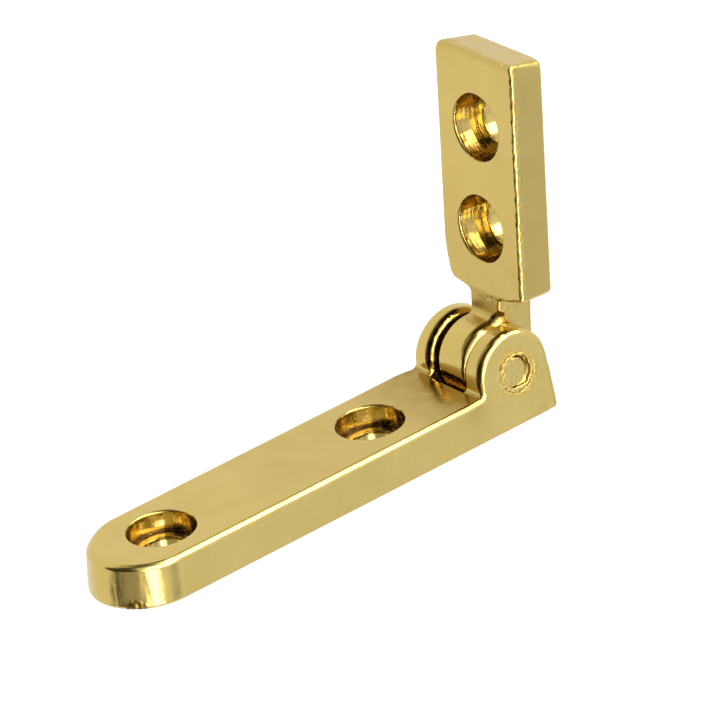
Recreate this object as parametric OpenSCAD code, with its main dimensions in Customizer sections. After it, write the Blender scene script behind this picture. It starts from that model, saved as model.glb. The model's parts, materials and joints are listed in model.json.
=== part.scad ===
// Small side-rail hinge: a long cast arm with a two-eared clevis, a short cast leaf, and a riveted pin.
// Frame: +Z up, the arm lies along X with its free end at -X, and the pin runs along Y.
// The origin is on the arm's underside, straight below the pin's axis.

/* [Arm] */
// Width of the arm at its underside
arm_w = 8; // [7:0.1:9]
// Thickness of the arm
arm_t = 3; // [2.6:0.1:3.4]
// Distance from the pin's axis to the free end
arm_tip = 32; // [29:0.5:36]
// Distance from the pin's axis to the clevis end
arm_heel = 2.75; // [2.7:0.05:2.9]
// How far each side leans in from the underside to the top of the arm
side_draft = 0.13; // [0.05:0.01:0.25]

/* [Clevis] */
// Height of the pin's axis above the underside
pivot_h = 3.6; // [3.4:0.05:3.8]
// Radius of the ears' round tops
ear_r = 2.85; // [2.7:0.05:3]
// How far each ear's outer face leans in from the arm's top to the ear's top
ear_draft = 0.37; // [0.1:0.01:0.5]
// Radius of the fillet at the front foot of the ears
foot_r = 0.4; // [0.2:0.05:0.6]
// Width of the slot between the ears
slot_w = 3.4; // [3.2:0.05:3.44]
// Reach of the slot in front of the pin's axis
slot_front = 3.25; // [3.1:0.05:3.5]
// Height of the stop sill that closes the back of the slot
sill_h = 2; // [1.8:0.05:2.1]

/* [Leaf] */
// Width of the leaf
leaf_w = 8; // [7:0.1:9]
// Thickness of the leaf
leaf_t = 2.75; // [2.6:0.05:3]
// Height of the leaf's bottom edge above the pin's axis
leaf_bottom = 4.3; // [4:0.1:5]
// Height of the leaf's top edge above the pin's axis
leaf_top = 21; // [19.5:0.1:24]
// Distance of the leaf's front face behind the pin's axis
leaf_set = 0.4; // [0.35:0.05:0.5]
// Angle by which the open leaf leans past upright
leaf_lean = 7.3; // [4:0.1:9]
// Width of the neck and the knuckle
neck_w = 2.85; // [2.6:0.05:2.9]
// Sideways play that the knuckle has taken up in the slot
neck_shift = -0.1; // [-0.15:0.01:0.15]
// Radius of the knuckle
knuckle_r = 2.6; // [2.4:0.05:2.65]

/* [Screw holes] */
// Distance from the pin's axis to the arm's outer screw hole
arm_hole = 26.5; // [25:0.1:28]
// Distance between the two holes in the arm
arm_pitch = 17; // [15:0.1:18]
// Height of the leaf's lower screw hole above the pin's axis
leaf_hole = 8.85; // [8:0.05:9]
// Distance between the two holes in the leaf
leaf_pitch = 7.05; // [6:0.05:8]
// Diameter of the counterbore at its mouth
mouth_d = 4.8; // [4.7:0.05:5.2]
// Diameter of the counterbore's wall
bore_d = 4.5; // [4.2:0.05:4.6]
// Depth of the counterbores in the arm
arm_bore_depth = 1.4; // [1.2:0.05:1.9]
// Depth of the counterbores in the leaf
leaf_bore_depth = 1.75; // [1.2:0.05:1.9]
// Diameter of the clearance hole for the screw's shank
screw_d = 2.9; // [2.4:0.05:3]

/* [Pin] */
// Diameter of the pin's shaft
pin_d = 2; // [1.8:0.05:2.2]
// Diameter of the riveted heads
head_d = 2.9; // [2.6:0.05:3]
// Depth of the countersink that each head fills
head_depth = 0.45; // [0.3:0.05:0.5]
// Radial play of the pin in the knuckle
pin_play = 0.05; // [0.02:0.01:0.08]

/* [Hidden] */
$fn = 96;
over = 1;                                    // how far a cutter runs past a face
knuckle_gap = 0.2;                           // room round the knuckle in the slot
stop_gap = 0.08;                             // room left between the neck's heel and the sill
ear_shift = arm_heel - ear_r;                // the ears end flush with the arm
ear_top = pivot_h + ear_r;
slot_step = pivot_h - 2.2;                   // floor of the slot's front relief
heel_drop = 1.2;                             // how far the neck reaches below the pin's axis
mouth_break = (mouth_d - bore_d) / 2;
ear_face = arm_w / 2 - side_draft - ear_draft * (pivot_h - arm_t) / (ear_top - arm_t);
top_corner_r = 1;                            // leaf's corner radii
near_corner_r = 0.5;
low_corner = [0.55, 0.45];                   // leaf's far bottom corner: its slant across and its radius
low_rise = 2.4;                              // height of that slant
gold = [0.80, 0.66, 0.33];
steel_gold = [0.72, 0.60, 0.38];

function turn(a) = [cos(a), sin(a)];
function arc(c, r, a0, a1, n = 10) = [for (i = [0:n]) c + r * turn(a0 + (a1 - a0) * i / n)];

// Extrudes a profile drawn in X and Z along Y, centred on y.
module along_y(w, y = 0) {
    translate([0, y + w / 2, 0]) rotate([90, 0, 0]) linear_extrude(w) children();
}

// Counterbored screw hole: its mouth is at the origin and it runs down -Z through a wall.
module screw_hole(wall, depth) {
    flare = 2 * mouth_break;
    translate([0, 0, -wall - over]) cylinder(d = screw_d, h = wall + 2 * over);
    translate([0, 0, -depth]) cylinder(d = bore_d, h = depth + over);
    translate([0, 0, -mouth_break]) cylinder(d1 = bore_d, d2 = bore_d + 2 * flare, h = flare);
}

module arm_plan() {
    translate([arm_w / 2 - arm_tip, 0]) circle(d = arm_w);
    translate([arm_w / 2 - arm_tip, -arm_w / 2]) square([arm_tip + arm_heel - arm_w / 2, arm_w]);
}

// Side view of the arm: the bar, the round ears, and the fillet at their front foot.
module arm_side() {
    foot_x = ear_shift - ear_r;
    translate([-arm_tip, 0]) square([arm_tip + arm_heel, arm_t]);
    translate([ear_shift, pivot_h]) circle(r = ear_r);
    translate([foot_x, 0]) square([2 * ear_r, pivot_h]);
    difference() {
        translate([foot_x - foot_r, arm_t - over]) square([foot_r + over, foot_r + over]);
        translate([foot_x - foot_r, arm_t + foot_r]) circle(r = foot_r);
    }
}

// End view of the arm: both sides lean in towards the top, and the ears lean a little more.
module arm_end() {
    half = arm_w / 2;
    top = half - side_draft;
    tip = top - ear_draft;
    polygon([[-half, 0], [half, 0], [top, arm_t], [tip, ear_top], [-tip, ear_top], [-top, arm_t]]);
}

// Side view of the slot: round room for the knuckle, a relief in front, and the way out over the sill.
module slot_side() {
    translate([0, pivot_h]) circle(r = knuckle_r + knuckle_gap);
    translate([-slot_front, slot_step]) square([slot_front, ear_top]);
    translate([0, sill_h]) square([arm_heel + over, ear_top]);
}

module base_arm() {
    color(gold) difference() {
        intersection() {
            linear_extrude(ear_top + over) arm_plan();
            along_y(arm_w + over) arm_side();
            translate([-arm_tip - over, 0, 0]) rotate([90, 0, 90])
                linear_extrude(arm_tip + arm_heel + 2 * over) arm_end();
        }
        along_y(slot_w) slot_side();
        for (x = [arm_hole, arm_hole - arm_pitch])
            translate([-x, 0, arm_t]) screw_hole(arm_t, arm_bore_depth);
        translate([0, 0, pivot_h]) rotate([90, 0, 0]) pin_solid(arm_w);
    }
}

// Puts a shape drawn about the pin's axis in its open place.
module leaning() {
    translate([0, 0, pivot_h]) rotate([0, leaf_lean, 0]) children();
}

// Front view of the leaf, drawn with the width along X and the height along Y.
module leaf_outline() {
    half = leaf_w / 2;
    slant = low_corner[0];
    r = low_corner[1];
    polygon(concat(
        [[-half, leaf_bottom]],
        [[half - slant - r, leaf_bottom]],
        arc([half - slant - r, leaf_bottom + r], r, -90, -15),
        [[half, leaf_bottom + low_rise]],
        arc([half - top_corner_r, leaf_top - top_corner_r], top_corner_r, 0, 90),
        arc([-half + near_corner_r, leaf_top - near_corner_r], near_corner_r, 90, 180)
    ));
}

module leaf_plate() {
    translate([leaf_set, 0, 0]) rotate([90, 0, 90]) linear_extrude(leaf_t) leaf_outline();
}

module neck() {
    translate([leaf_set, neck_shift - neck_w / 2, -heel_drop]) cube([leaf_t, neck_w, heel_drop + leaf_bottom + over]);
}

module leaf() {
    color(gold) difference() {
        union() {
            leaning() leaf_plate();
            difference() {
                leaning() neck();
                translate([0, -arm_w / 2, 0]) cube([2 * arm_heel, arm_w, sill_h + stop_gap]);
            }
            translate([0, 0, pivot_h]) along_y(neck_w, neck_shift) circle(r = knuckle_r);
        }
        for (z = [leaf_hole, leaf_hole + leaf_pitch])
            leaning() translate([leaf_set, 0, z]) rotate([0, -90, 0]) screw_hole(leaf_t, leaf_bore_depth);
        translate([0, 0, pivot_h]) rotate([90, 0, 0]) cylinder(r = pin_d / 2 + pin_play, h = arm_w, center = true);
    }
}

// The pin about the Z axis: a shaft, and a head at each end that fills its countersink.
module pin_solid(len) {
    cylinder(d = pin_d, h = len, center = true);
    for (side = [0, 1]) mirror([0, 0, side]) {
        translate([0, 0, ear_face - head_depth]) cylinder(d1 = pin_d, d2 = head_d, h = head_depth);
        if (len > 2 * ear_face) translate([0, 0, ear_face]) cylinder(d = head_d, h = over);
    }
}

module pivot_pin() {
    color(steel_gold) translate([0, 0, pivot_h]) rotate([90, 0, 0]) pin_solid(2 * ear_face);
}

base_arm();
leaf();
pivot_pin();
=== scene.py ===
import json
import math

import bpy
import numpy as np
from mathutils import Matrix, Vector


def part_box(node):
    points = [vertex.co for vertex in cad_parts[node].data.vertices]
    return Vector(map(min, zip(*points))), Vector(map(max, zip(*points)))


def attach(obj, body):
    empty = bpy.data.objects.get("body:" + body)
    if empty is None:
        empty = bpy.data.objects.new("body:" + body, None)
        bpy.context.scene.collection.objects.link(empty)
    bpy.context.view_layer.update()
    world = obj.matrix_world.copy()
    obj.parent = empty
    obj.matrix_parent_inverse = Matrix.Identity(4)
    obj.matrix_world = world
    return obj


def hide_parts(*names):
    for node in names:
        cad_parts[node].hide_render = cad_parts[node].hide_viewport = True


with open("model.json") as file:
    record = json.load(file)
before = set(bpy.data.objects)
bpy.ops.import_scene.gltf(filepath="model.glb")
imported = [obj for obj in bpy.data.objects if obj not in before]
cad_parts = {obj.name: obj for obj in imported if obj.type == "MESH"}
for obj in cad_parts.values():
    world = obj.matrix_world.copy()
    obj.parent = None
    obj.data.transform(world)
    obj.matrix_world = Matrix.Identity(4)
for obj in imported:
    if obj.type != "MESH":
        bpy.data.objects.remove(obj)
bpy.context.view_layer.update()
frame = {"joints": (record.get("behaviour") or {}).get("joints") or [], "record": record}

# ---------------------------------------------------------------- places from the frame, in millimetres
MM = 0.001
mounts = {m["name"]: m for m in frame["record"]["mounts"]}
pivot = np.array(frame["joints"][0]["pos_m"]) / MM
arm_lo, arm_hi = (np.array(c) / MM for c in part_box("base_arm"))
screws = mounts["arm_screw_holes"]
screw_mid = screws["pos_m"][0] / MM
screw_half = screws["dims"]["spacing_x_mm"] / 2
back_axis = mounts["leaf_back"]["axis"]
LEAN = math.atan2(-back_axis[2], back_axis[0])


def leaf_local(p):
    """Distance behind the pin's axis and height above it of a point of the open leaf."""
    x, z = p[0] / MM, p[2] / MM - pivot[2]
    return x * math.cos(LEAN) - z * math.sin(LEAN), x * math.sin(LEAN) + z * math.cos(LEAN)


# ---------------------------------------------------------------- sizes in millimetres
# Arm and clevis
TIP, HEEL, HALF = arm_lo[0], arm_hi[0], arm_hi[1]
ARM_T = 3.0
ear_height = arm_hi[2] - pivot[2]
EAR_X, EAR_R = HEEL - ear_height, ear_height + 0.02
SIDE_DRAFT, EAR_DRAFT, FAR_EAR_DRAFT = 0.043, 0.044, 0.03    # each for a millimetre of height
ARM_EDGE, HEEL_EDGE, UNDER_EDGE, FOOT_FILLET = 0.4, 0.3, 0.2, 0.32
SLOT_NEAR, SLOT_FAR, SLOT_FRONT, SLOT_STEP, SILL = -1.9, 1.7, -3.2, 1.4, 2.0
KNUCKLE_ROOM = 2.85

# Screw holes
ARM_HOLES = (screw_mid - screw_half, screw_mid + screw_half)
SCREW_R = screws["dims"]["hole_r_mm"]
BORE_R, ARM_BORE, LEAF_BORE, MOUTH_ROUND = 2.26, 1.45, 1.75, 0.17

# Pin
SHAFT_R, SPREAD_R = 1.0, 1.36
SINK_Y, PIN_END_Y = 3.25, 3.71                               # start of the countersink, and the pin's end

# Leaf, neck and knuckle, in the leaf's own frame
LEAF_BACK = leaf_local(mounts["leaf_back"]["pos_m"])[0]
LEAF_T = 2.75
LEAF_FRONT = LEAF_BACK - LEAF_T
LEAF_HOLES = [leaf_local(mounts[n]["pos_m"])[1] for n in ("leaf_screw_hole_low", "leaf_screw_hole_high")]
LEAF_LOW, LEAF_TOP = 4.3, 21.15
TOP_CORNER, LOW_CORNER = 1.0, 0.5
SLANT_ACROSS, SLANT_DOWN, SLANT_TOP = 0.968, 0.249, 6.5      # way the low corner's slant faces, and its top
NECK_NEAR, NECK_FAR, NECK_FILLET = -1.52, 1.32, 0.35
KNUCKLE_R, KNUCKLE_BORE, STOP_HEIGHT = 2.68, 1.05, 2.08


# ---------------------------------------------------------------- distance fields
def r_and(a, b, r):
    """Intersection of two solids with its edge rounded by r."""
    return np.minimum(np.maximum(a, b), -r) + np.hypot(np.maximum(a + r, 0), np.maximum(b + r, 0))


def r_or(a, b, r):
    """Union of two solids with a fillet of radius r."""
    return np.maximum(np.minimum(a, b), r) - np.hypot(np.maximum(r - a, 0), np.maximum(r - b, 0))


def e_and(a, b, ra, rb):
    """Intersection whose edge is rounded by an ellipse: ra deep below a, and rb deep below b."""
    u, v = np.maximum(a + ra, 0) / ra, np.maximum(b + rb, 0) / rb
    curve = np.maximum(np.hypot(u, v) - 1, np.maximum(a / ra, b / rb))
    return np.where((u > 0) | (v > 0), curve, -1.0) * np.minimum(ra, rb)


def s_max(a, b, k):
    """Intersection of two solids, blended over a width of k."""
    return np.maximum(a, b) + np.maximum(k - np.abs(a - b), 0) ** 2 / (4 * k)


def ramp(x, a, b):
    """0 up to a and 1 from b on, with a smooth rise between them."""
    t = np.clip((x - a) / (b - a), 0, 1)
    return t * t * (3 - 2 * t)


def band(x, a, b, soft):
    """1 between a and b, and 0 beyond them by soft."""
    return ramp(x, a - soft, a) * (1 - ramp(x, b, b + soft))


def screw_hole(body, rad, depth, bore):
    """Cuts a counterbored hole; rad is the distance from its axis and depth the distance below its mouth."""
    body = r_and(body, -r_and(rad - BORE_R, depth - bore, 0.06), MOUTH_ROUND)
    return r_and(body, SCREW_R - rad, 0.07)


def rivet_r(x, z):
    """Radius of the pin's spread end, which the riveting left a little out of round."""
    a = np.arctan2(z, x)
    return SPREAD_R + 0.05 * np.sin(3 * a + 0.6) + 0.03 * np.sin(7 * a + 2.0) + 0.02 * np.sin(13 * a)


def arm_blank(x, y, z):
    """The bar and its two ears as one block, with soft edges."""
    far = y > 0
    ear_zone = ramp(x, -4.6, -2.4)
    half = HALF - SIDE_DRAFT * z - (EAR_DRAFT + FAR_EAR_DRAFT * far) * ear_zone * z
    round_end = TIP + HALF + 0.03 + 0.07 * z
    side = np.hypot(np.minimum(x - round_end, 0), y) - half
    ear = np.hypot(x - EAR_X, np.maximum(z - pivot[2], 0)) - EAR_R
    profile = r_or(z - ARM_T, ear, FOOT_FILLET)
    far_end = ramp(y, 0.5, 3.2) * ramp(-x, -TIP - 4.5, -TIP - 1.5)
    edge = ARM_EDGE + 0.28 * far_end + 0.12 * far * ear_zone
    worn_front = ear_zone * (y < 0) * (1 - ramp(x, -0.6, 0.8)) * ramp(z, 3.0, 3.8)
    body = e_and(profile, side, edge, edge + 0.24 * worn_front)
    body = r_and(body, x - HEEL + 0.08, HEEL_EDGE)
    return r_and(body, -z, UNDER_EDGE + 0.12 * ramp(x, 1.6, 2.6))


def clevis_slot(x, y, z):
    """Round room for the knuckle, a relief in front of it, and the way out over the stop sill."""
    knuckle_room = np.hypot(x, z - pivot[2]) - KNUCKLE_ROOM
    front = np.maximum(np.maximum(SLOT_FRONT - x, SLOT_STEP - z), x)
    back = np.maximum(-x, SILL - z)
    room = np.minimum(np.minimum(knuckle_room, front), back)
    return np.maximum(np.maximum(y - SLOT_FAR, SLOT_NEAR - y), room)


def pin_seat(x, y, z):
    """The pin's bore through the ears, with a countersink at each end that fits the spread rivet."""
    rad = np.hypot(x, z)
    spread = rivet_r(x, z) + 0.01
    cone = np.maximum(rad - SHAFT_R, 0.0) - np.maximum(np.abs(y) - SINK_Y, 0)
    return np.minimum(rad - SHAFT_R, cone + (rad > spread) * 9.0 * (rad - spread))


def arm_field(x, y, z):
    """The whole arm, in the CAD frame."""
    lip = ramp(x + 0.3 * (z - ARM_T), -3.1, -2.6)
    lip_down = 0.12 + (0.14 + 0.1 * (y > 0)) * lip
    lip_across = 0.12 + (0.12 + 0.36 * (y > 0)) * lip
    body = e_and(arm_blank(x, y, z), -clevis_slot(x, y, z), lip_down, lip_across)
    for hole in ARM_HOLES:
        body = screw_hole(body, np.hypot(x - hole, y), ARM_T - z, ARM_BORE)
    return r_and(body, -pin_seat(x, y, z - pivot[2]), 0.04)


def leaf_plate(y, z, deep):
    """Front view of the leaf; deep is 0 at its front face and 1 at its back."""
    half = HALF - 0.2 * deep
    back = np.clip(deep, 0, 1)
    near = -y - half + 0.05 * np.maximum(z - LEAF_TOP + 1.5, 0) ** 2
    slant = (y - HALF + 0.05) * SLANT_ACROSS - (z - SLANT_TOP) * SLANT_DOWN
    far = s_max(y - half, slant, 0.25)
    top = z - LEAF_TOP + 0.3 * deep
    low = LEAF_LOW - 0.02 - z + 0.14 * np.maximum(np.abs(y) - 1.6, 0) + 0.1 * np.maximum(-y - 2.4, 0)
    plate = r_and(near, top, 0.16 + 0.34 * back)
    plate = r_and(plate, low, 0.12 + 0.3 * back)
    plate = r_and(plate, r_and(far, top, TOP_CORNER), 0.01)
    return r_and(plate, r_and(far, low, LOW_CORNER), 0.01)


def leaf_field(x, y, z):
    """The leaf in its own frame: x behind the pin's axis, z above it."""
    neck_far = NECK_FAR + 0.18 * ramp(z, 2.4, 3.3)
    neck = np.maximum(np.maximum(NECK_NEAR - y, y - neck_far), z - (LEAF_LOW + 3.7))
    outline = r_or(leaf_plate(y, z, (x - LEAF_FRONT) / LEAF_T), neck, NECK_FILLET)
    above_floor = pivot[2] - x * math.sin(LEAN) + z * math.cos(LEAN)
    slab = r_and(np.maximum(LEAF_FRONT - x, x - LEAF_BACK), STOP_HEIGHT - above_floor, 0.1)
    profile = r_or(slab, np.hypot(x, z) - KNUCKLE_R, 0.05 + 0.5 * (1 - ramp(x, 0.7, 1.4)))
    crown = (y < 0) * ramp(z, 0.4, 2.0) * (1 - ramp(z, 3.0, 3.6)) * (1 - ramp(x, 0.8, 1.4))
    neck_edge = 0.3 + 0.55 * crown - 0.08 * ramp(z, 2.6, 3.4)
    plate_edge = 0.22 + 0.1 * (y < -3)
    body = r_and(outline, profile, np.where(z < 3.7, neck_edge, plate_edge))
    for hole in LEAF_HOLES:
        body = screw_hole(body, np.hypot(y, z - hole), x - LEAF_FRONT, LEAF_BORE)
    return r_and(body, KNUCKLE_BORE - np.hypot(x, z), 0.05)


def pin_field(x, y, z):
    """The pin about its own axis, which runs along y."""
    rad = np.hypot(x, z)
    cone = rad - np.clip(SHAFT_R + (np.abs(y) - SINK_Y), SHAFT_R, rivet_r(x, z))
    body = r_and(cone, np.abs(y) - PIN_END_Y, 0.05)
    outer = np.hypot(x, z - 0.03) - rivet_r(z, x) + 0.24
    inner = 1.0 - np.hypot(x + 0.32, z - 0.14)
    groove = r_and(np.maximum(outer, inner), SINK_Y - np.abs(y), 0.08)
    return r_and(body, -groove, 0.08)


# ---------------------------------------------------------------- surfaces from the fields
CORNERS = [(i, j, k) for i in (0, 1) for j in (0, 1) for k in (0, 1)]


def axis(*stops):
    """Grid lines: start, then pairs of end and spacing."""
    out, at = [np.array([stops[0]])], stops[0]
    for end, step in zip(stops[1::2], stops[2::2]):
        n = max(1, int(round((end - at) / step)))
        out.append(at + (end - at) * np.arange(1, n + 1) / n)
        at = end
    return np.concatenate(out)


def gradient(field, p, e=0.002):
    """Slope of a field at each point, taken over 2e."""
    g = np.empty_like(p)
    for i in range(3):
        d = np.zeros(3)
        d[i] = e
        g[:, i] = (field(*(p + d).T) - field(*(p - d).T)) / (2 * e)
    return g


def unit(v):
    """Vectors scaled to a length of 1."""
    return v / np.maximum(np.linalg.norm(v, axis=1), 1e-9)[:, None]


def crossing_means(lines, val, cells):
    """For each cell, the mean of the points where its edges cross the surface."""
    total, count = np.zeros((len(cells), 3)), np.zeros(len(cells))
    for a in CORNERS:
        for ax in range(3):
            if a[ax]:
                continue
            b = list(a)
            b[ax] = 1
            ca, cb = cells + a, cells + b
            va, vb = val[tuple(ca.T)], val[tuple(cb.T)]
            hit = (va < 0) != (vb < 0)
            t = np.where(hit, va / np.where(hit, va - vb, 1), 0)
            pa = np.stack([lines[i][ca[:, i]] for i in range(3)], 1)
            pb = np.stack([lines[i][cb[:, i]] for i in range(3)], 1)
            total[hit] += (pa + (pb - pa) * t[:, None])[hit]
            count[hit] += 1
    return total / count[:, None]


def settle(field, start, reach):
    """Moves points onto the surface, none of them further than its reach."""
    pts = start.copy()
    for _ in range(4):
        g = gradient(field, pts)
        step = field(*pts.T)[:, None] * g / np.maximum((g * g).sum(1), 0.05)[:, None]
        pts = start + np.clip(pts - step - start, -reach, reach)
    return pts


def cell_quads(inside, ids):
    """A quad round each grid edge that crosses the surface, wound to face outwards."""
    n = ids.shape
    quads = []
    for ax in range(3):
        u, v = (ax + 1) % 3, (ax + 2) % 3
        lo, hi = [slice(None)] * 3, [slice(None)] * 3
        lo[ax], hi[ax] = slice(0, n[ax]), slice(1, n[ax] + 1)
        for i in (u, v):
            lo[i] = hi[i] = slice(1, n[i])
        a, b = inside[tuple(lo)], inside[tuple(hi)]
        at = np.argwhere(a != b)
        flip = b[tuple(at.T)]
        at[:, u] += 1
        at[:, v] += 1
        ring = []
        for du, dv in ((-1, -1), (0, -1), (0, 0), (-1, 0)):
            c = at.copy()
            c[:, u] += du
            c[:, v] += dv
            ring.append(ids[tuple(c.T)])
        ring = np.stack(ring, 1)
        ring[flip] = ring[flip][:, ::-1]
        quads.append(ring)
    return np.concatenate(quads)


def surface(field, xs, ys, zs):
    """Surface nets on a grid of uneven lines, with each vertex then put on the surface itself."""
    lines = (xs, ys, zs)
    val = field(xs[:, None, None], ys[None, :, None], zs[None, None, :])
    inside = val < 0
    n = [len(a) - 1 for a in lines]
    corners_in = sum(inside[i:i + n[0], j:j + n[1], k:k + n[2]].astype(np.int8) for i, j, k in CORNERS)
    cells = np.argwhere((corners_in > 0) & (corners_in < 8))
    ids = -np.ones(n, np.int64)
    ids[tuple(cells.T)] = np.arange(len(cells))
    size = np.stack([np.diff(lines[i])[cells[:, i]] for i in range(3)], 1)
    pts = settle(field, crossing_means(lines, val, cells), 0.6 * size)
    return pts, cell_quads(inside, ids)


rng = np.random.default_rng(7)
LATTICE = rng.uniform(-1, 1, (4096, 3))
LATTICE /= np.linalg.norm(LATTICE, axis=1)[:, None]


def noise(p, scale, seed=0):
    """Smooth gradient noise of about -1 to 1, with features about scale millimetres across."""
    q = p / scale + seed * 17.3
    cell = np.floor(q).astype(np.int64)
    f = q - cell
    w = f * f * f * (f * (f * 6 - 15) + 10)
    out = np.zeros(len(p))
    for i, j, k in CORNERS:
        c = cell + (i, j, k)
        key = (c[:, 0] * 73856093 ^ c[:, 1] * 19349663 ^ c[:, 2] * 83492791) & 4095
        dot = (LATTICE[key] * (f - (i, j, k))).sum(1)
        wt = (w[:, 0] if i else 1 - w[:, 0]) * (w[:, 1] if j else 1 - w[:, 1])
        out += dot * wt * (w[:, 2] if k else 1 - w[:, 2])
    return 1.6 * out


def relief(pts, normals, height):
    """Raises the surface by height(p), and turns its normals to suit."""
    e = 0.01
    slope = np.stack([(height(pts + d) - height(pts - d)) / (2 * e) for d in np.eye(3) * e], 1)
    slope -= (slope * normals).sum(1)[:, None] * normals
    return pts + normals * height(pts)[:, None], unit(normals - slope)


def make_piece(name, pts, normals, quads, body, node, attributes, material):
    """Makes the mesh object that stands for a CAD node."""
    me = bpy.data.meshes.new(name)
    me.vertices.add(len(pts))
    me.vertices.foreach_set("co", (pts * MM).astype(np.float32).ravel())
    me.loops.add(quads.size)
    me.loops.foreach_set("vertex_index", quads.astype(np.int32).ravel())
    me.polygons.add(len(quads))
    me.polygons.foreach_set("loop_start", np.arange(0, quads.size, 4, dtype=np.int32))
    me.polygons.foreach_set("use_smooth", np.ones(len(quads), bool))
    me.update(calc_edges=True)
    me.validate()
    for key, values in attributes.items():
        layer = me.attributes.new(key, "FLOAT", "POINT")
        layer.data.foreach_set("value", values.astype(np.float32))
    me.normals_split_custom_set_from_vertices(normals.astype(np.float32).tolist())
    obj = bpy.data.objects.new(name, me)
    bpy.context.scene.collection.objects.link(obj)
    me.materials.append(material)
    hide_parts(node)
    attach(obj, body)
    return obj


# ---------------------------------------------------------------- materials
AMBER = (0.40, 0.265, 0.055, 1)                              # tarnish and painted shade of 1
BROWN = (0.055, 0.025, 0.008, 1)                             # tarnish and painted shade of 2
WHITE = (1, 1, 1, 1)


def nodes_of(name):
    """A new material and its empty node tree."""
    mat = bpy.data.materials.new(name)
    mat.use_nodes = True
    tree = mat.node_tree
    tree.nodes.clear()
    return mat, tree


class Net:
    """Short names for making and linking shader nodes."""

    def __init__(self, tree):
        self.tree = tree

    def add(self, kind, props=None, **inputs):
        """A node with its properties set; inputs go by name, or by number as i0, i1 and so on."""
        node = self.tree.nodes.new(kind)
        for k, v in (props or {}).items():
            setattr(node, k, v)
        for k, v in inputs.items():
            by_number = k[0] == "i" and k[1:].isdigit()
            self.put(node.inputs[int(k[1:])] if by_number else node.inputs[k.replace("_", " ")], v)
        return node

    def put(self, sock, v):
        """Links a socket, or sets a plain value."""
        if isinstance(v, bpy.types.NodeSocket):
            self.tree.links.new(v, sock)
        else:
            sock.default_value = v

    def math(self, op, a, b=0.0):
        return self.add("ShaderNodeMath", {"operation": op}, i0=a, i1=b).outputs[0]

    def noise(self, vec, scale, detail=2.0, rough=0.5):
        node = self.add("ShaderNodeTexNoise", None, Vector=vec, Scale=scale, Detail=detail, Roughness=rough)
        return node.outputs["Fac"]

    def bump(self, height, strength, distance, **below):
        """A bump, laid over the one below it if there is one."""
        node = self.add("ShaderNodeBump", None, Strength=strength, Distance=distance, Height=height, **below)
        return node.outputs[0]

    def attribute(self, name):
        return self.add("ShaderNodeAttribute", {"attribute_name": name}).outputs["Fac"]

    def fit(self, v, a, b, c, d, smooth=False):
        """Maps a to b onto c to d."""
        props = {"interpolation_type": "SMOOTHSTEP"} if smooth else {}
        return self.add("ShaderNodeMapRange", props, i0=v, i1=a, i2=b, i3=c, i4=d).outputs[0]

    def mix(self, f, a, b):
        node = self.add("ShaderNodeMix", {"data_type": "RGBA"}, i0=f, i6=a, i7=b)
        return node.outputs[2]

    def facing(self, ray, centre):
        """Cosine of the angle between the ray and a direction."""
        props = {"operation": "DOT_PRODUCT"}
        return self.add("ShaderNodeVectorMath", props, i0=ray, i1=centre).outputs["Value"]


def tool_rings(n, where):
    """Fine rings left by the tool, where the attribute turned says so, along the attribute turn."""
    coarse_pitch, fine_pitch = 0.34, 0.15
    turn = n.math("ADD", n.attribute("turn"), n.math("MULTIPLY", n.noise(where, 700.0, 2.0), 0.25))
    coarse = n.math("SINE", n.math("MULTIPLY", turn, 2 * math.pi / coarse_pitch))
    fine = n.math("SINE", n.math("MULTIPLY", turn, 2 * math.pi / fine_pitch))
    rings = n.math("ADD", coarse, n.math("MULTIPLY", fine, 0.25))
    return n.math("MULTIPLY", rings, n.attribute("turned"))


def gilt(name, pale, deep, rough):
    """Polished plating: faint waves, fine lines, tiny pits and a tint that drifts."""
    mat, tree = nodes_of(name)
    n = Net(tree)
    where = n.add("ShaderNodeTexCoord").outputs["Object"]
    stretch = n.add("ShaderNodeMapping", None, Vector=where, Scale=(0.25, 1.0, 1.0)).outputs[0]
    drift = n.noise(where, 320.0, 3.0)
    speck = n.noise(where, 5200.0, 2.0)
    lines = n.noise(stretch, 6500.0, 2.0)
    haze = n.noise(where, 900.0, 4.0, 0.6)
    # Tarnish together with painted shade and painted reflections: the colour goes towards amber up to 1, then
    # towards brown up to 2.
    tarnish_and_shade = n.math("MULTIPLY", n.attribute("tarnish_and_shade"), n.fit(haze, 0.25, 0.75, 0.75, 1.25))
    colour = n.mix(n.fit(drift, 0.3, 0.7, 0.0, 1.0), pale, deep)
    colour = n.mix(n.fit(tarnish_and_shade, 0.0, 1.0, 0.0, 1.0), colour, AMBER)
    colour = n.mix(n.fit(tarnish_and_shade, 1.0, 2.0, 0.0, 1.0), colour, BROWN)
    height = n.math("ADD", n.math("MULTIPLY", speck, 0.5), n.math("MULTIPLY", lines, 0.35))
    bump = n.bump(height, 0.10, 0.00002)
    bump = n.bump(haze, 0.25, 0.00006, Normal=bump)
    bump = n.bump(tool_rings(n, where), 1.0, 0.000004, Normal=bump)
    blur = n.fit(haze, 0.3, 0.7, rough - 0.03, rough + 0.05)
    blur = n.math("ADD", blur, n.math("MULTIPLY", n.attribute("wear"), 0.25))
    looks = {"Base_Color": colour, "Metallic": 1.0, "Roughness": blur, "Normal": bump}
    metal = n.add("ShaderNodeBsdfPrincipled", None, **looks)
    tree.links.new(metal.outputs[0], n.add("ShaderNodeOutputMaterial").inputs["Surface"])
    return mat


cast_gilt = gilt("cast_gilt", (0.67, 0.505, 0.155, 1), (0.63, 0.468, 0.136, 1), 0.17)
pin_metal = gilt("pin_metal", (0.66, 0.50, 0.160, 1), (0.61, 0.45, 0.135, 1), 0.19)


# ---------------------------------------------------------------- unevenness, wear, tarnish and painted shade of the castings
def drawn_out(p, ax, factor):
    """The points with one axis shrunk by factor, so that noise is drawn out along it."""
    q = p.copy()
    q[:, ax] *= factor
    return q


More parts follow.
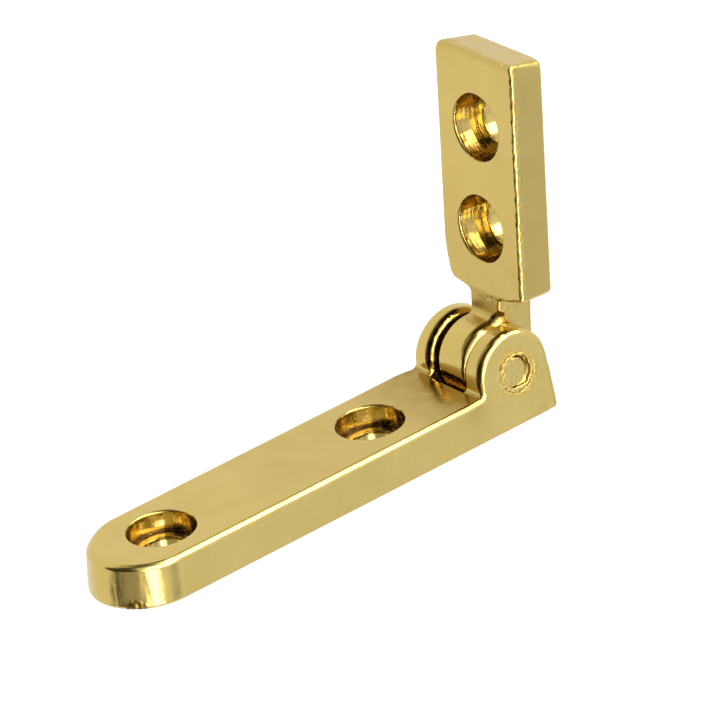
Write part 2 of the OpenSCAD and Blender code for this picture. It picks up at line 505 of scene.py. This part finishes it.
def cast_waves(p):
    """Height of the faint waves that polishing leaves on a casting."""
    return 0.006 * noise(p, 2.6, 1) + 0.0016 * noise(p, 0.9, 2)


def bore_waves(p, ax, rad, depth, bore, seeds):
    """Height of the streaks down a counterbore's wall, whose hole runs along the axis ax."""
    zone = (1 - ramp(rad, BORE_R + 0.04, BORE_R + 0.14)) * band(depth, 0.4, bore, 0.25)
    broad = 0.026 * noise(drawn_out(p, ax, 0.35), 0.6, seeds[0])
    return zone * (broad + 0.010 * noise(drawn_out(p, ax, 0.2), 0.32, seeds[1]))


def in_bore(rad, depth, bore):
    """True on a counterbore's wall and ledge."""
    return (rad < BORE_R + 0.05) & (np.abs(depth - 0.1 - bore / 2) < bore / 2 + 0.15)


def end_blemish(x, y, z):
    """1 on the rough spot at the foot of the arm's round end."""
    spot = np.hypot(np.hypot(x - TIP - 0.95, y + 2.6), (z - 0.1) * 1.3)
    return 1 - ramp(spot, 0.5, 1.0)


def rivet_ring(p):
    """1 on the rough ring of metal that was pushed up round the pin's end."""
    rad = np.hypot(p[:, 0], p[:, 2] - pivot[2]) + 0.22 * noise(p, 0.7, 10)
    return band(rad, 1.42, 1.5, 0.16) * (np.abs(p[:, 1]) > 3.3)


def arm_waves(p):
    """Height of the arm's unevenness over its field."""
    x, y, z = p.T
    end_wall = (1 - ramp(x, TIP + 1.8, TIP + 3.0)) * (1 - ramp(z, 2.3, 2.7))
    near_ear_top = ramp(z, 5.9, 6.2) * ramp(-y, 1.6, 2.0) * ramp(x, -1.2, -0.4)
    heel_foot = ramp(x, 0.9, 1.9) * ramp(-z, -0.8, -0.2)
    bottom_edge = ramp(-z, -0.45, -0.1)
    far_lip = band(y, 1.65, 1.95, 0.2) * ramp(z, 3.0, 3.6)
    near_edge = ramp(-y, 3.3, 3.6) * band(z, 2.5, 3.1, 0.2)
    slot_mouth = band(x, -3.4, -2.9, 0.3) * band(z, 2.4, 3.2, 0.3) * (np.abs(y) < 2.2)
    h = cast_waves(p)
    for hole in ARM_HOLES:
        h += bore_waves(p, 2, np.hypot(x - hole, y), ARM_T - z, ARM_BORE, (3, 16))
    h += 0.06 * end_blemish(x, y, z) * noise(p, 0.28, 4)
    h += 0.010 * end_wall * noise(drawn_out(p, 2, 0.12), 0.32, 6)
    h += rivet_ring(p) * (0.022 * noise(p, 0.25, 9) + 0.03 * noise(p, 0.6, 19))
    h += 0.02 * near_ear_top * noise(p, 0.3, 11)
    h += 0.03 * heel_foot * noise(p, 0.3, 12)
    h += 0.008 * bottom_edge * noise(p, 0.35, 13)
    h += 0.032 * far_lip * noise(p, 0.38, 14)
    h += 0.007 * near_edge * noise(p, 0.55, 17)
    h += 0.012 * slot_mouth * noise(p, 0.3, 15)
    return h


def arm_look(p, nrm):
    """The arm's attributes: tool rings and their phase, wear, and tarnish mixed with painted shade and
    painted reflections.
    """
    x, y, z = p.T
    turned, turn, bore_shade = np.zeros((3, len(p)))
    for hole in ARM_HOLES:
        rad = np.hypot(x - hole, y)
        mask = in_bore(rad, ARM_T - z, ARM_BORE)
        level = ramp(np.abs(nrm[:, 2]), 0.4, 0.9)
        turned[mask] = (0.12 - 0.04 * level)[mask]
        turn[mask] = np.where(level > 0.5, rad, z)[mask]
        # Painted shade in the counterbore: the wall darkens towards its bottom and the ledge towards its
        # outer corner.
        wall = 0.15 + 0.5 * noise(drawn_out(p, 2, 0.3), 0.9, 18)
        wall += 1.3 * ramp(ARM_T - z, ARM_BORE - 0.35, ARM_BORE)
        ledge = 1.0 + 0.4 * noise(p, 0.8, 30) + 1.8 * ramp(rad, 1.75, 2.15)
        bore_shade[mask] = np.maximum(wall + (ledge - wall) * level, 0)[mask]
    ring, blemish = rivet_ring(p), end_blemish(x, y, z)
    bar_top = ramp(nrm[:, 2], 0.3, 0.9) * (z < pivot[2])
    by_slot = ramp(x, -3.5, -2.8) * (np.abs(y) < 2.1)
    far_ear_front = ramp(-nrm[:, 0], 0.1, 0.6) * ramp(z, 3.2, 3.8) * (x > -4) * (y < 1.5)
    ear_front = ramp(z, 3.2, 3.6) * (x > -3.3) * (1 - ramp(x, -0.4, 0.6))
    slot_lip = ear_front * (np.abs(y - 2.0) < 0.5) * band(-nrm[:, 1], 0.1, 0.5, 0.1)
    outer_rim = ear_front * (y < -3) * band(-nrm[:, 1], 0.14, 0.5, 0.1)
    # Painted reflection: the bar's top turns amber towards the clevis, standing in for the dark slot and
    # knuckle that it reflects.
    tarnish_and_shade = bar_top * (0.85 * ramp(x, -9.8, -3.3) + 0.15 * ramp(x, -25.0, -14.0))
    # Painted shade in front of the slot; the ring round the pin's end and the blemish at the round end are
    # real tarnish.
    tarnish_and_shade += 0.5 * by_slot + 0.3 * ring + 1.5 * blemish
    # Painted shade on the ears' front faces, and painted dark reflection lines along the far ear's slot lip
    # and the near ear's outer rim.
    tarnish_and_shade += 0.1 * far_ear_front + 1.8 * slot_lip + 1.2 * outer_rim
    return turned, turn, np.maximum(ring, 0.6 * blemish), tarnish_and_shade + bore_shade


def leaf_waves(p):
    """Height of the leaf's unevenness over its field."""
    x, y, z = p.T
    near_edge = ramp(-y, 3.4, 3.75) * (1 - ramp(x, LEAF_FRONT + 0.3, LEAF_FRONT + 0.6))
    neck_side = ramp(-y, 1.1, 1.4) * band(z, 3.5, 4.3, 0.3) * (y > -1.8)
    neck_root = band(z, 4.1, 4.5, 0.2) * (np.abs(y) < 1.9) * (x < LEAF_FRONT + 0.4)
    top = ramp(z, 20.4, 20.8)
    ridge = np.exp(-((x - LEAF_FRONT - 0.5 + 0.12 * noise(p, 1.5, 25)) / 0.12) ** 2)
    h = cast_waves(p)
    for hole in LEAF_HOLES:
        h += bore_waves(p, 0, np.hypot(y, z - hole), x - LEAF_FRONT, LEAF_BORE, (23, 27))
    h += near_edge * (0.03 * noise(drawn_out(p, 2, 0.8), 0.36, 20) + 0.02 * noise(p, 1.1, 29))
    h += 0.03 * neck_side * noise(p, 0.3, 21)
    h += 0.03 * neck_root * noise(p, 0.3, 22)
    h += 0.045 * ridge * band(y, -0.4, 3.0, 0.5) * top * (1 + noise(p, 0.7, 24))
    h += 0.01 * top * noise(p, 0.5, 26)
    return h


def leaf_look(p, nrm):
    """The leaf's attributes: tool rings and their phase, wear, and a darkening that is mostly painted shade
    and painted reflection.
    """
    x, y, z = p.T
    turned, turn, bore_shade = np.zeros((3, len(p)))
    for hole in LEAF_HOLES:
        rad = np.hypot(y, z - hole)
        mask = in_bore(rad, x - LEAF_FRONT, LEAF_BORE)
        level = ramp(np.abs(nrm[:, 0]), 0.4, 0.9)
        turned[mask] = (0.6 - 0.48 * level)[mask]
        turn[mask] = np.where(level > 0.5, rad, x)[mask]
        # Painted shade in the counterbore: the wall darkens above and below the hole's axis, and the ledge
        # towards its outer corner.
        wall = 0.36 + 0.99 * ramp(z - hole, 0.3, 1.5) + 0.72 * ramp(hole - z, 0.7, 1.7)
        wall += 0.5 * noise(drawn_out(p, 0, 0.3), 0.9, 28)
        ledge = 0.1 + 1.2 * ramp(rad, 1.95, 2.2)
        bore_shade[mask] = np.maximum(wall + (ledge - wall) * level, 0)[mask]
    neck = (np.abs(y) < 1.9) * (1 - ramp(z, 4.2, 4.7))
    front = ramp(-nrm[:, 0], 0.5, 0.9)
    low_face = front * (1 - ramp(z, 5.0, 14.0)) * (z > 4.2)
    top = ramp(z, 20.5, 20.8)
    knuckle_edge = (y < -0.5) * (x < 1.0) * ramp(z, -0.8, 0.4) * (1 - ramp(z, 2.9, 3.3))
    wear = 0.5 * neck * ramp(z, 2.4, 2.8) + 0.2 * top
    # Painted shade on the neck, more on its front, and on the front face darkening towards its bottom; the
    # top is made a little deeper in tone.
    tarnish_and_shade = 0.5 * neck * ramp(z, 2.2, 2.8) * np.maximum(front, 0.3) + 0.18 * low_face + 0.2 * top
    # Painted dark reflection line along the knuckle's near rounded edge.
    tarnish_and_shade += 1.5 * knuckle_edge * band(-nrm[:, 1], 0.1, 0.42, 0.1)
    return turned, turn, wear, tarnish_and_shade + bore_shade


def pin_waves(p):
    """Height of the hammer marks on the pin."""
    edge = ramp(np.hypot(p[:, 0] - 0.25, p[:, 2] + 0.1), 0.9, 1.4)
    return (0.014 + 0.026 * edge) * noise(p, 0.24, 5)


def pin_look(p, nrm):
    """The pin's attributes: it is worn, its spread rim is a little tarnished, and it is darkened as painted
    shade below its end faces, in the groove and inside the ears.
    """
    edge = ramp(np.hypot(p[:, 0], p[:, 2]) + 0.25 * noise(p, 0.6, 8), 1.05, 1.4)
    none = np.zeros(len(p))
    # Painted shade in the pin's groove and under its end faces; the rim's light tarnish is real.
    return none, none, 0.45 + 0.4 * edge, 0.15 * edge + 0.7 * (np.abs(p[:, 1]) < 3.6)


# ---------------------------------------------------------------- pieces
def as_is(v, direction=False):
    """For a piece that is made in the CAD frame."""
    return v


def lean(v, direction=False):
    """From the leaf's own frame to the open leaf in the CAD frame."""
    c, s = math.cos(LEAN), math.sin(LEAN)
    out = np.stack([v[:, 0] * c + v[:, 2] * s, v[:, 1], -v[:, 0] * s + v[:, 2] * c], 1)
    return out if direction else out + pivot


def on_pivot(v, direction=False):
    """From the pin's own frame to the CAD frame."""
    return v if direction else v + pivot


def finish_piece(name, field, grid, body, node, material, place, look, waves):
    """Meshes a field, gives it its look and its unevenness, and puts it in place."""
    pts, quads = surface(field, *grid)
    normals = unit(gradient(field, pts))
    attributes = dict(zip(("turned", "turn", "wear", "tarnish_and_shade"), look(pts, normals)))
    pts, normals = relief(pts, normals, waves)
    print(name, len(pts), "vertices", len(quads), "quads")
    return make_piece(name, place(pts), place(normals, True), quads, body, node, attributes, material)


EDGE, FACE = 0.085, 0.11                                     # spacing of the grid lines at edges and on faces
arm_grid = (
    axis(TIP - 0.3, -28.9, 0.09, -24.1, 0.1, -12.0, 0.25, -7.0, 0.1, -3.9, 0.2, 3.0, 0.08),
    axis(-4.25, -3.2, EDGE, 3.2, FACE, 4.25, EDGE),
    axis(-0.25, 0.35, EDGE, 2.4, 0.12, 3.3, EDGE, 6.8, 0.09))
leaf_grid = (
    axis(-2.85, 0.9, EDGE, 2.6, FACE, 3.4, EDGE),
    axis(-4.25, -3.2, EDGE, 3.2, 0.1, 4.25, EDGE),
    axis(-2.9, 4.0, EDGE, 7.5, 0.09, 20.0, 0.105, 21.5, EDGE))
pin_grid = (
    axis(-1.6, 1.6, 0.045),
    axis(-3.95, -3.1, 0.04, 3.1, 0.25, 3.95, 0.04),
    axis(-1.6, 1.6, 0.045))

finish_piece("base_arm_cast", arm_field, arm_grid, "base", "base_arm",
             cast_gilt, as_is, arm_look, arm_waves)
finish_piece("leaf_cast", leaf_field, leaf_grid, "leaf", "leaf",
             cast_gilt, lean, leaf_look, leaf_waves)
finish_piece("pivot_pin_riveted", pin_field, pin_grid, "base", "pivot_pin",
             pin_metal, on_pivot, pin_look, pin_waves)


# ---------------------------------------------------------------- camera, floor and light
def ray_at(azimuth, elevation):
    """Direction at an azimuth from +X towards +Y and an elevation, in degrees."""
    a, e = math.radians(azimuth), math.radians(elevation)
    return math.cos(a) * math.cos(e), math.sin(a) * math.cos(e), math.sin(e)


def aim_camera():
    """Looks at the hinge from the front left, a little rolled, through a long lens."""
    heading, drop, roll = 56.7, 27.32, math.radians(9.91)    # the first two in degrees
    distance, target = 475.0, Vector((-5.594, 5.83, 3.937))
    forward = Vector(ray_at(heading, -drop))
    level_right = forward.cross(Vector((0, 0, 1))).normalized()
    level_up = level_right.cross(forward)
    right = level_right * math.cos(roll) - level_up * math.sin(roll)
    up = level_up * math.cos(roll) + level_right * math.sin(roll)
    camera = bpy.data.objects.new("camera", bpy.data.cameras.new("camera"))
    bpy.context.scene.collection.objects.link(camera)
    place = Matrix((right, up, -forward)).transposed().to_4x4()
    place.translation = (target - forward * distance) * MM
    camera.matrix_world = place
    camera.data.lens = 363.0
    camera.data.sensor_width = 36.0
    camera.data.clip_start = 0.01
    bpy.context.scene.camera = camera


def lay_floor():
    """A wide white floor just below the lowest bump of the arm's underside."""
    reach, drop = 3, 0.05 * MM
    floor_mesh = bpy.data.meshes.new("floor")
    corners = [(-reach, -reach, 0), (reach, -reach, 0), (reach, reach, 0), (-reach, reach, 0)]
    floor_mesh.from_pydata(corners, [], [(0, 1, 2, 3)])
    floor = bpy.data.objects.new("floor", floor_mesh)
    bpy.context.scene.collection.objects.link(floor)
    floor.location.z = -drop
    floor.visible_glossy = False
    mat, tree = nodes_of("pale_floor")
    n = Net(tree)
    glow = n.add("ShaderNodeEmission", None, Color=WHITE, Strength=0.86)
    matte = n.add("ShaderNodeBsdfDiffuse", None, Color=(0.25, 0.25, 0.25, 1))
    both = n.add("ShaderNodeAddShader", None, i0=glow.outputs[0], i1=matte.outputs[0])
    tree.links.new(both.outputs[0], n.add("ShaderNodeOutputMaterial").inputs["Surface"])
    floor_mesh.materials.append(mat)


# What the metal reflects. Each card is a direction, the angles from it in degrees out to which the
# card is whole and at which it has faded out, and its brightness. The studio's own brightness is 1.
CARDS = (
    (ray_at(325, -28), 8, 26, 0.73),
    ((-0.05, 0.22, 0.97), 7, 18, 0.05),
    ((0.15, 0.24, 0.96), 8, 15, 0.06),
    (ray_at(200, 66), 9, 16, 0.05),
    (ray_at(228, 71), 9, 15, 0.06),
    ((0.49, 0.30, 0.82), 3, 8, 0.1),
    (ray_at(184, 48), 10, 22, 0.08),
    (ray_at(183, 8), 29, 36, 0.06),
    (ray_at(198, -28), 17, 24, 0.45),
    (ray_at(171, -26), 3, 7, 0.12),
    ((0.45, -0.50, 0.72), 22, 31, 6.0),
    (ray_at(262, 22), 20, 32, 5.5),
    (ray_at(236, 2), 9, 15, 5.0),
    (ray_at(241, -27), 9, 14, 6.0),
    (ray_at(281, -28), 6, 11, 0.57),
)


def light_studio():
    """A white studio with softboxes and dark flags, and a cooler tint low on the right."""
    world = bpy.data.worlds.new("studio")
    bpy.context.scene.world = world
    world.use_nodes = True
    tree = world.node_tree
    tree.nodes.clear()
    n = Net(tree)
    ray = n.add("ShaderNodeTexCoord").outputs["Generated"]

    def blend(below, above, share):
        rest = n.math("SUBTRACT", 1.0, share)
        return n.math("ADD", n.math("MULTIPLY", below, rest), n.math("MULTIPLY", share, above))

    level = 1.0
    for centre, whole, faded, brightness in CARDS:
        near = n.facing(ray, tuple(Vector(centre).normalized()))
        far_cos, near_cos = math.cos(math.radians(faded)), math.cos(math.radians(whole))
        share = n.fit(near, far_cos, near_cos, 0.0, 1.0, True)
        level = blend(level, brightness, share)
    level = blend(level, 1.0, n.add("ShaderNodeLightPath").outputs["Is Camera Ray"])
    cool = n.fit(n.facing(ray, ray_at(312, -20)), 0.6, 0.92, 0.0, 1.0, True)
    tint = n.mix(cool, WHITE, (1.0, 1.05, 1.2, 1))
    sky = n.add("ShaderNodeBackground", None, Color=tint, Strength=level)
    tree.links.new(sky.outputs[0], n.add("ShaderNodeOutputWorld").inputs["Surface"])


aim_camera()
lay_floor()
light_studio()
scene = bpy.context.scene
scene.view_settings.view_transform = "Standard"
scene.cycles.glossy_bounces = 10
